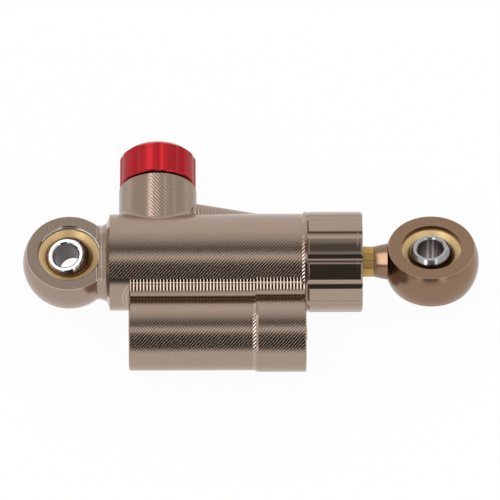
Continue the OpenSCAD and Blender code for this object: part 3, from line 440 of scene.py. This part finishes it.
def turned(name, color, rough, axis="x", rings=0.02, metallic=1.0, darkening=None, line_at=None):
    """Turned metal: fine rings round an axis, darker where its mask says (dark lines on the rod, painted
    shade on the knob's sides), with a line turned in at an X.
    """
    mat, net, bsdf = material(name, color, metallic, rough)
    p, x, y, z = net.place()
    along, direction = {"x": (x, X_AXIS), "y": (y, Y_AXIS), "z": (z, Z_AXIS)}[axis]
    lean = net.mul(fine_rings(net, along), rings * 2)
    if line_at:
        lean = net.line(net.band(x, line_at - 0.12, line_at + 0.12, 0.06), 0.15, lean)
    net.put(bsdf.inputs["Normal"], tilt(net, net.normal(), [(direction, lean)]))
    base, _ = mottle(net, bsdf, p, color, rough, 0.03)
    # Darker colour where the mask says: dark lines on the rod, painted shade on the knob's sides
    if darkening:
        net.put(bsdf.inputs["Base Color"], net.mix(darkening(net, y, z), base, toned(color, 0.4)))
    return mat


def rod_lines(net, y, z):
    """Faint dark lines along the rod, each an angle round it and a strength."""
    angle = net.m("DEGREES", net.m("ARCTAN2", z, net.mul(y, -1.0)))
    return net.most(*(net.mul(net.band(angle, a - 2.0, a + 2.0, 0.9), k)
                      for a, k in ((89.4, 0.6), (64.2, 0.8), (34.8, 1.0))))


def knob_side_shade(net, _y, _z):
    """Painted shade on the knob's sides, which are seen at a low angle."""
    return net.mul(net.band(net.size(net.xyz(net.normal())[0]), 0.76, 2.0, 0.25), 0.6)


def eye(name, color, rough, centre, axis, edge_r, edge_h, highlight_gain, brushed, rims=()):
    """Eye: brush lines over its flats, a painted highlight on the edge round them, and painted highlight
    lines on the rims beside a shoulder.
    """
    mat, net, bsdf = material(name, color, 1.0, rough)
    p, x, y, z = net.place()
    nrm = net.normal()
    q = net.v("SUBTRACT", p, centre)
    along = net.v("DOT_PRODUCT", q, axis)
    radial = net.v("LENGTH", net.v("SUBTRACT", q, net.v("SCALE", axis, along)))
    flat = net.band(net.size(net.v("DOT_PRODUCT", nrm, axis)), 0.995, 1.5, 0.002)
    brush = net.sub(net.noise(net.v("MULTIPLY", q, (1.0, 0.02, 0.02)), 4.0, 3, 0.7), 0.5)
    lean = net.mul(brush, flat, 0.5 * brushed)
    if rims:
        shoulder = net.mul(net.band(x, *SHOULDER_X, 0.05),
                           net.band(from_axis(net, y, z, 0, 0), *SHOULDER_R, 0.1))
        lean = net.line(shoulder, 0.4, lean)
    net.put(bsdf.inputs["Normal"], tilt(net, nrm, [
        (axis, net.mul(fine_rings(net, along), 0.04)), (X_AXIS, lean)]))

    # The rod eye's neck is glossier than its head
    base, gloss = mottle(net, bsdf, p, color, rough, 0.03)
    net.put(bsdf.inputs["Roughness"], net.mul(gloss, net.line(net.band(x, *NECK_X, 0.4), -0.28, 1.0)))
    grain = net.mul(net.m("MULTIPLY", net.add(brush, 0.1), 1.6 * brushed, clamp=True), flat)
    col = net.mix(grain, base, toned(color, 0.62))
    # Painted highlight: lighter colour on the edge round the flats and on the rims
    edge = net.mul(net.band(radial, edge_r - 0.14, edge_r + 0.1, 0.05),
                   net.band(net.size(along), edge_h - 0.14, edge_h + 0.5, 0.04))
    for at in rims:
        rim = net.mul(net.band(x, at - 0.1, at + 0.1, 0.06), net.band(net.size(z), edge_h - 0.05, FAR, 0.05))
        edge = net.most(edge, rim)
    net.put(bsdf.inputs["Base Color"], net.mix(edge, col, toned(color, highlight_gain)))
    return mat


def ball(name, centre, axis, reflection_reach, gloss, reflection_colour, tone=1.0, glints=()):
    """Ball of a bearing: bright ends, painted shade in its bore with painted reflection streaks and glints,
    and a painted reflection of the race on its skin.
    """
    mat, net, bsdf = material(name, CHROME, 1.0, gloss)
    p, _, _, _ = net.place()
    q = net.v("SUBTRACT", p, centre)
    qx, qy, _ = net.xyz(q)
    along = net.v("DOT_PRODUCT", q, axis)
    radial = net.v("LENGTH", net.v("SUBTRACT", q, net.v("SCALE", axis, along)))
    in_bore = net.band(radial, -1.0, BORE_R, 0.03)
    skin = net.band(net.v("LENGTH", q), *BALL_SKIN, 0.05)
    # Painted reflection of the race on the ball's skin, near its middle along the axis
    race_reflection = net.mul(skin, net.band(net.size(along), -1.0, reflection_reach, 0.3))
    # Painted shade in the bore, with painted reflection streaks and painted glints
    streak = net.noise(net.v("MULTIPLY", q, (1.0, 1.0, 0.05)), 1.1, 3)
    bore = net.mix(streak, BORE_SHADE, lin(*(c / tone ** 2 for c in BORE_LIT)))
    for at, wide in glints:
        glint = net.mul(net.band(qx, at - wide, at + wide, 0.15), net.band(qy, 0.0, 9.0, 0.3))
        bore = net.mix(net.mul(glint, 0.45), bore, GLINT)
    ends = net.mix(net.noise(p, 0.4, 2), *(lin(*[v * tone] * 3) for v in BALL_GREYS))
    net.put(bsdf.inputs["Base Color"], net.mix(in_bore, net.mix(race_reflection, ends, reflection_colour), bore))
    rough = net.line(net.noise(p, 3.0, 2), 0.06, gloss - 0.03)
    net.put(bsdf.inputs["Roughness"], net.add(rough, net.mul(in_bore, 0.25)))
    return mat


def dull(name, color, rough, spread):
    """Rubber or plastic."""
    mat, net, bsdf = material(name, color, 0.0, rough)
    mottle(net, bsdf, net.place()[0], color, rough, spread)
    return mat


def beaded():
    """Fillet's surface: one shallow bead for each step of the cutter round the boss."""
    mat, net, bsdf = material("fillet_milled", BODY, 1.0, 0.2)
    p, x, _, z = net.place()
    nrm = net.normal()
    round_foot = net.mul(net.m("ARCTAN2", net.sub(x, BOSS_X), z), BOSS_R + FILLET)
    beads = scallops(net, net.div(round_foot, BEAD_PITCH), 0.3)
    net.put(bsdf.inputs["Normal"], tilt(net, nrm, [(across(net, Y_AXIS, nrm), beads)]))
    mottle(net, bsdf, p, BODY, 0.2, 0.03)
    return mat


# Each bolt hole's centre in millimetres and its axis, which are also its ball's
BOLTS = {m["name"]: (tuple(c * 1000 for c in m["pos_m"]), tuple(m["axis"]))
         for m in frame["record"]["mounts"]}
BODY_BOLT, ROD_BOLT = BOLTS["body_eye_bolt"], BOLTS["rod_eye_bolt"]
cap_mat = turned("cap_anodised", BODY, 0.09, "x", 0.03, line_at=CAP_LINE_X)
ring_mat = turned("ring_steel", STEEL, 0.2, "z", 0.0)
BY_SLOT = {
    "body_anodised": milled(),
    "eye_bronze": eye("eye_bronze", BRONZE, 0.24, ROD_BOLT[0], (0, math.sin(ROLL), math.cos(ROLL)),
                      ROD_FLAT_R, ROD_FLAT_H, 1.45, 0.5),
    "rod_gold": turned("rod_gold", GOLD, 0.5, "x", 0.01, darkening=rod_lines),
    "race_brass": turned("race_brass", RACE_BRASS, 0.4, "z", metallic=0.6),
    "ball_steel": ball("ball_steel", *BODY_BOLT, 5.6, 0.1, RACE_REFLECTION_AT_BODY),
    "dark_steel": turned("dark_steel", DARK, 0.3),
    "plain_steel": turned("plain_steel", STEEL, 0.25),
    "knob_red": turned("knob_red", RED, 0.3, "y", darkening=knob_side_shade),
    "valve_brass": turned("valve_brass", BRASS, 0.25, "y"),
    "seal_rubber": dull("seal_rubber", RUBBER, 0.6, 0.2),
    "guide_plastic": dull("guide_plastic", PLASTIC, 0.5, 0.1),
}
BY_NODE = {
    "gland_cap": cap_mat,
    "end_plug": cap_mat,
    "body_snap_ring": ring_mat,
    "rod_snap_ring": ring_mat,
    "body_eye": eye("body_eye_anodised", BODY_EYE, 0.2, (0, 0, 0), Z_AXIS,
                    BODY_FLAT_R, BODY_FLAT_H, 1.7, 1.0, RIMS_X),
    # Rod ball: a darker tone, and two painted glints in its bore
    "rod_ball": ball("rod_ball_steel", *ROD_BOLT, 4.9, 0.2, RACE_REFLECTION_AT_ROD, 0.84,
                     ((-1.0, 0.3), (0.55, 0.3))),
}
for entry in frame["record"]["subparts"]:
    slots = NODES[entry["node"]].data.materials
    slots.clear()
    slots.append(BY_NODE.get(entry["node"], BY_SLOT[entry["material_slot"]]))


def to_object(bm, name):
    mesh = bpy.data.meshes.new(name)
    bm.to_mesh(mesh)
    bm.free()
    obj = bpy.data.objects.new(name, mesh)
    bpy.context.scene.collection.objects.link(obj)
    return obj


def foot_fillet():
    """Closed ring in the corner between boss and tube, its back sunk a little into both."""
    turns, steps, sunk, depth = 144, 10, 0.15, 1.2
    bm = bmesh.new()
    loops = []
    for i in range(turns):
        a = 2 * math.pi * i / turns
        cx, cz = (BOSS_R + FILLET) * math.cos(a), (BOSS_R + FILLET) * math.sin(a)
        cy = math.sqrt((TUBE_R + FILLET) ** 2 - cz * cz)
        centre = Vector((BOSS_X + cx, cy, cz))
        to_boss = Vector((-math.cos(a), 0, -math.sin(a)))
        to_tube = Vector((0, -cy, -cz)).normalized()
        loop = [centre + to_boss.slerp(to_tube, k / steps) * FILLET for k in range(steps + 1)]
        loop.append(loop[-1] + to_tube * sunk)
        loop.append(loop[0] + to_boss * sunk + Vector((0, -depth, 0)))
        loop.append(loop[0] + to_boss * sunk)
        loops.append([bm.verts.new(q * MM) for q in loop])
    for i in range(turns):
        a, b = loops[i], loops[(i + 1) % turns]
        for k in range(len(a)):
            m = (k + 1) % len(a)
            f = bm.faces.new((a[k], a[m], b[m], b[k]))
            f.smooth = k < steps
    bmesh.ops.recalc_face_normals(bm, faces=bm.faces)
    return to_object(bm, "boss_fillet")


fillet = foot_fillet()
fillet.data.materials.append(beaded())
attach(fillet, "cylinder")

# World: a studio with a white table and back, a soft overhead light, a dark front and bright sides.
# STOPS: angle from the table's front edge (0) over the top (90) to its back (180), and brightness
STOPS = ((0, 1.0), (4, 0.9), (9, 0.36), (13, 0.13), (17, 0.07), (56, 0.07), (61, 0.16), (65, 0.6),
         (68, 0.92), (77, 0.92), (81, 0.44), (85, 0.17), (99, 0.17), (103, 0.32), (108, 0.42),
         (113, 0.62), (119, 0.74), (128, 0.8), (134, 0.93), (139, 1.0), (180, 1.0))
# Bright sides: range of that angle, and brightness
SIDES = ((8.0, 106.0, 0.8), (110.0, 172.0, 0.7))
# Strip lights: range of the direction's X, range of that angle, and brightness
STRIPS = ((0.32, 0.41, 8.0, 112.0, 2.8), (-0.50, -0.36, 40.0, 120.0, 4.2),
          (0.29, 0.36, 118.0, 128.0, 1.9), (-0.36, -0.26, 98.0, 128.0, 2.2),
          (0.36, 0.55, 0.0, 18.0, 1.5), (-0.55, -0.36, 0.0, 18.0, 1.35))


def studio():
    """World lit by the values above, and plain white to the camera."""
    world = bpy.data.worlds.new("studio")
    bpy.context.scene.world = world
    world.use_nodes = True
    net = Net(world.node_tree)
    dx, dy, dz = net.xyz(net.v("NORMALIZE", net.node("ShaderNodeTexCoord").outputs["Generated"]))
    angle = net.m("DEGREES", net.m("ARCTAN2", dz, net.mul(dy, -1.0)))
    sky = net.ramp(net.m("DIVIDE", angle, 180.0, clamp=True), [(a / 180, grey(v)) for a, v in STOPS])
    beside = net.ease(net.size(dx), 0.26, 0.45)
    for start, stop, power in SIDES:
        sky = net.mix(net.mul(beside, net.band(angle, start, stop, 8.0)), sky, grey(power))
    for low, high, start, stop, power in STRIPS:
        strip = net.mul(net.band(dx, low, high, 0.03), net.band(angle, start, stop, 6.0))
        sky = net.mix(strip, sky, grey(power))
    back = net.node("ShaderNodeBackground")
    camera_ray = net.node("ShaderNodeLightPath").outputs["Is Camera Ray"]
    net.put(back.inputs[0], net.mix(camera_ray, sky, grey(1.0)))
    net.put(net.node("ShaderNodeOutputWorld").inputs[0], back.outputs[0])


studio()


def table_white():
    """White table that glows to the camera and keeps a faint shadow."""
    mat = bpy.data.materials.new("table_white")
    mat.use_nodes = True
    net = Net(mat.node_tree)
    diffuse = net.node("ShaderNodeBsdfDiffuse")
    diffuse.inputs[0].default_value = grey(0.85)
    glow = net.node("ShaderNodeEmission")
    glow.inputs[0].default_value = grey(1.0)
    glow.inputs[1].default_value = 1.0
    paths = net.node("ShaderNodeLightPath")
    seen = net.most(paths.outputs["Is Camera Ray"], paths.outputs["Is Glossy Ray"])
    mixer = net.node("ShaderNodeMixShader")
    for i, value in enumerate((net.mul(seen, 0.95), diffuse.outputs[0], glow.outputs[0])):
        net.put(mixer.inputs[i], value)
    net.put(net.node("ShaderNodeOutputMaterial").inputs[0], mixer.outputs[0])
    return mat


# Floor, a hair under the part
FLOOR_HALF, FLOOR_GAP = 4, 0.0003
bm = bmesh.new()
for sx, sy in ((-1, -1), (1, -1), (1, 1), (-1, 1)):
    bm.verts.new((sx * FLOOR_HALF, sy * FLOOR_HALF, CAD_BOX[0][2] - FLOOR_GAP))
bm.faces.new(bm.verts)
floor = to_object(bm, "floor")
floor.data.materials.append(table_white())

# Camera: the photograph's, nearly without perspective. ANCHOR is where the body ball's centre shows
PICTURE, SENSOR = 500, 36
FOCAL, DIST, ANCHOR = 10000.0, 3.067, (69.3, 262.7)
ELEVATION, CAMERA_ROLL = math.radians(59.4), math.radians(-0.20)
fwd = Vector((0, math.cos(ELEVATION), -math.sin(ELEVATION)))
level = Vector(X_AXIS)
upright = Vector((0, math.sin(ELEVATION), math.cos(ELEVATION)))
right = level * math.cos(CAMERA_ROLL) + upright * math.sin(CAMERA_ROLL)
up = upright * math.cos(CAMERA_ROLL) - level * math.sin(CAMERA_ROLL)
aim = fwd + right * ((ANCHOR[0] - PICTURE / 2) / FOCAL) + up * ((PICTURE / 2 - ANCHOR[1]) / FOCAL)
cam_data = bpy.data.cameras.new("camera")
cam_data.sensor_width = SENSOR
cam_data.lens = SENSOR * FOCAL / PICTURE
cam_data.clip_start, cam_data.clip_end = 0.1, 20
cam = bpy.data.objects.new("camera", cam_data)
bpy.context.scene.collection.objects.link(cam)
cam.matrix_world = Matrix.Translation(-aim * DIST) @ Matrix((
    (right.x, up.x, -fwd.x, 0), (right.y, up.y, -fwd.y, 0), (right.z, up.z, -fwd.z, 0), (0, 0, 0, 1)))
bpy.context.scene.camera = cam

# One soft overhead lamp
LAMP_AT, LAMP_LEAN = (0.05, -0.35, 1.5), math.radians(-13)
lamp_data = bpy.data.lights.new("overhead", "AREA")
lamp_data.shape = "RECTANGLE"
lamp_data.size, lamp_data.size_y = 1.6, 0.8
lamp_data.energy = 6.0
lamp = bpy.data.objects.new("overhead", lamp_data)
lamp.visible_glossy = False
bpy.context.scene.collection.objects.link(lamp)
lamp.matrix_world = Matrix.Translation(LAMP_AT) @ Matrix.Rotation(LAMP_LEAN, 4, "X")

bpy.context.scene.view_settings.view_transform = "Standard"
